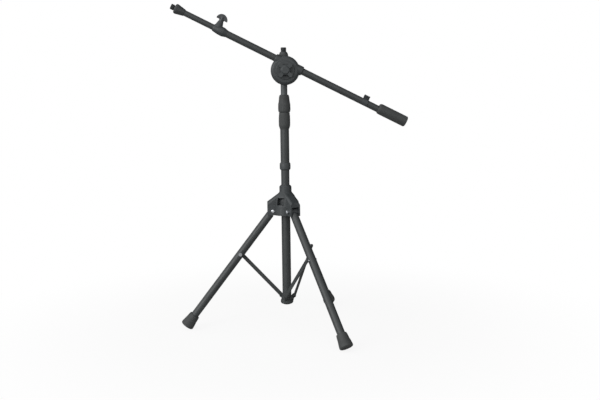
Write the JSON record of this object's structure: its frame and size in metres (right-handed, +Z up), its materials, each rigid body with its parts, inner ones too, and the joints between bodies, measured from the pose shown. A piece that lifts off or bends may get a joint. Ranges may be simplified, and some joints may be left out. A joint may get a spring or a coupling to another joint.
{
  "type": "boom microphone stand",
  "caption": "Boom microphone stand: folding tripod with hinged braces, telescopic rod with twist clutch, round tilt clamp, sliding boom with extension, cable clip and counterweight.",
  "frame": {"origin": "on the floor, under the column's axis, with the legs open", "axes": "+Z up along the column; +X horizontally along the boom towards its counterweight end; -Y towards the side that carries the tilt knob"},
  "size_m": [0.6658, 0.5432, 0.9333],
  "materials": {
    "tube_black": "satin powder coat, light orange peel",
    "moulded_black": "fine moulded texture, semi-matt",
    "rubber_black": "matt rubber",
    "zinc_plate": "bright zinc plate",
    "weight_iron": "as cast"
  },
  "bodies": {
    "base_sleeve": {"center_sleeve": "tube_black", "leg_bracket": "tube_black", "bracket_pins": "tube_black"},
    "column": {"hub": "moulded_black", "hub_bush": "rubber_black", "hub_set_screws": "zinc_plate", "leg_bolts": "zinc_plate", "leg_nuts": "zinc_plate", "lower_column": "tube_black", "column_ring": "moulded_black", "column_tube": "tube_black", "clutch_body": "rubber_black", "clutch_collet": "moulded_black"},
    "clutch_grip": {"clutch_grip": "rubber_black"},
    "rod": {"rod_tube": "tube_black", "rod_guide": "moulded_black", "rod_cap": "moulded_black"},
    "swivel": {"swivel_base": "moulded_black", "swivel_set_screw": "zinc_plate", "friction_washer": "rubber_black", "pivot_bolt": "zinc_plate", "knob_washer": "zinc_plate", "top_flange": "tube_black", "top_stud": "tube_black"},
    "tilt_head": {"clamp_shell_rear": "moulded_black", "clamp_shell_front": "moulded_black", "channel_liner": "rubber_black"},
    "tilt_knob": {"tilt_knob": "moulded_black", "knob_insert": "zinc_plate"},
    "boom": {"boom_tube": "tube_black", "boom_collar": "moulded_black", "extension_bush": "rubber_black", "counterweight_core": "weight_iron", "counterweight_sleeve": "rubber_black"},
    "thumb_screw": {"thumb_knob": "moulded_black", "thumb_stud": "zinc_plate"},
    "extension": {"extension_tube": "tube_black", "extension_plug": "rubber_black", "mic_flange": "tube_black", "mic_stud": "tube_black"},
    "cable_clip": {"cable_clip": "moulded_black"},
    "leg_left": {"leg_tube_left": "tube_black", "leg_eye_left": "moulded_black", "foot_left": "rubber_black", "leg_rivet_left": "zinc_plate"},
    "leg_front": {"leg_tube_front": "tube_black", "leg_eye_front": "moulded_black", "foot_front": "rubber_black", "leg_rivet_front": "zinc_plate"},
    "leg_rear": {"leg_tube_rear": "tube_black", "leg_eye_rear": "moulded_black", "foot_rear": "rubber_black", "leg_rivet_rear": "zinc_plate"},
    "brace_left": {"brace_left": "tube_black"},
    "brace_front": {"brace_front": "tube_black"},
    "brace_rear": {"brace_rear": "tube_black"}
  },
  "joints": [
    {"name": "base_fold", "type": "slide", "parent": "base_sleeve", "child": "column", "axis": [0, 0, 1], "range_m": [0, 0.078]},
    {"name": "leg_left_fold", "type": "hinge", "parent": "column", "child": "leg_left", "pos_m": [-0.0377, 0, 0.347], "axis": [0, -1, 0], "range_deg": [0, 37.5]},
    {"name": "leg_front_fold", "type": "hinge", "parent": "column", "child": "leg_front", "pos_m": [0.01885, -0.03265, 0.347], "axis": [0.866, 0.5, 0], "range_deg": [0, 37.5]},
    {"name": "leg_rear_fold", "type": "hinge", "parent": "column", "child": "leg_rear", "pos_m": [0.01885, 0.03265, 0.347], "axis": [-0.866, 0.5, 0], "range_deg": [0, 37.5]},
    {"name": "brace_left_fold", "type": "hinge", "parent": "base_sleeve", "child": "brace_left", "pos_m": [-0.015, 0, 0.092], "axis": [0, -1, 0], "range_deg": [-35.33, 0]},
    {"name": "brace_front_fold", "type": "hinge", "parent": "base_sleeve", "child": "brace_front", "pos_m": [0.0075, -0.01299, 0.092], "axis": [0.866, 0.5, 0], "range_deg": [-35.33, 0]},
    {"name": "brace_rear_fold", "type": "hinge", "parent": "base_sleeve", "child": "brace_rear", "pos_m": [0.0075, 0.01299, 0.092], "axis": [-0.866, 0.5, 0], "range_deg": [-35.33, 0]},
    {"name": "clutch_twist", "type": "hinge", "parent": "column", "child": "clutch_grip", "pos_m": [0, 0, 0.654], "axis": [0, 0, 1], "range_deg": [0, 90]},
    {"name": "rod_height", "type": "slide", "parent": "column", "child": "rod", "axis": [0, 0, 1], "range_m": [-0.02, 0.38]},
    {"name": "boom_pan", "type": "hinge", "parent": "rod", "child": "swivel", "pos_m": [0, 0, 0.725], "axis": [0, 0, 1], "continuous": true},
    {"name": "boom_tilt", "type": "hinge", "parent": "swivel", "child": "tilt_head", "pos_m": [0.003, -0.028, 0.748], "axis": [0, 1, 0], "range_deg": [-72, 48]},
    {"name": "tilt_knob_turn", "type": "hinge", "parent": "swivel", "child": "tilt_knob", "pos_m": [0.003, -0.052, 0.748], "axis": [0, 1, 0], "range_deg": [0, 180]},
    {"name": "boom_slide", "type": "slide", "parent": "tilt_head", "child": "boom", "axis": [0.8934, 0, -0.4493], "range_m": [-0.18, 0.12]},
    {"name": "thumb_screw_turn", "type": "hinge", "parent": "boom", "child": "thumb_screw", "pos_m": [-0.17077, -0.028, 0.88991], "axis": [0.4493, 0, 0.8934], "range_deg": [0, 180]},
    {"name": "boom_extension", "type": "slide", "parent": "boom", "child": "extension", "axis": [-0.8934, 0, 0.4493], "range_m": [-0.075, 0.24]},
    {"name": "clip_slide", "type": "slide", "parent": "boom", "child": "cable_clip", "axis": [0.8934, 0, -0.4493], "range_m": [-0.17, 0.03]}
  ],
  "couplings": [
    {"joint": "leg_left_fold", "follows": "base_fold", "rad_per_m": 8.391},
    {"joint": "leg_front_fold", "follows": "base_fold", "rad_per_m": 8.391},
    {"joint": "leg_rear_fold", "follows": "base_fold", "rad_per_m": 8.391},
    {"joint": "brace_left_fold", "follows": "base_fold", "rad_per_m": -7.9042},
    {"joint": "brace_front_fold", "follows": "base_fold", "rad_per_m": -7.9042},
    {"joint": "brace_rear_fold", "follows": "base_fold", "rad_per_m": -7.9042}
  ]
}
